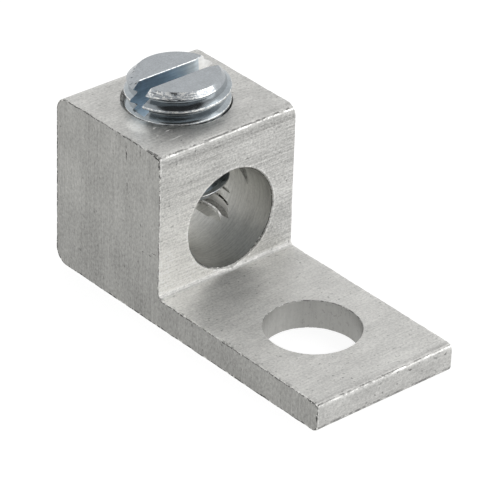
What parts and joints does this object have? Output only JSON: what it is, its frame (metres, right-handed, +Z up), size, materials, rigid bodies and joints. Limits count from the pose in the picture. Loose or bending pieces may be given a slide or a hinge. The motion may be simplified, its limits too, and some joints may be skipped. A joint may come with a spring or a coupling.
{
  "type": "mechanical lug",
  "caption": "Mechanical cable lug: aluminium block with a wire bore and a slotted clamp screw, on a flat tongue with a stud hole.",
  "frame": {"origin": "centre of the stud hole on the underside of the tongue", "axes": "+X along the tongue to its free end, +Y across the body, +Z up out of the stud hole, which is also the way the clamp screw comes out"},
  "size_m": [0.0296, 0.0126, 0.0163],
  "materials": {
    "lug_body": "satin, bright tin plate over a sawn and drawn extrusion",
    "clamp_screw": "clear blue zinc plate"
  },
  "bodies": {
    "lug": {"lug_body": "lug_body"},
    "screw": {"clamp_screw": "clamp_screw"}
  },
  "joints": [
    {"name": "screw_travel", "type": "slide", "parent": "lug", "child": "screw", "axis": [0, 0, 1], "range_m": [-0.00317, 0.00423]}
  ]
}
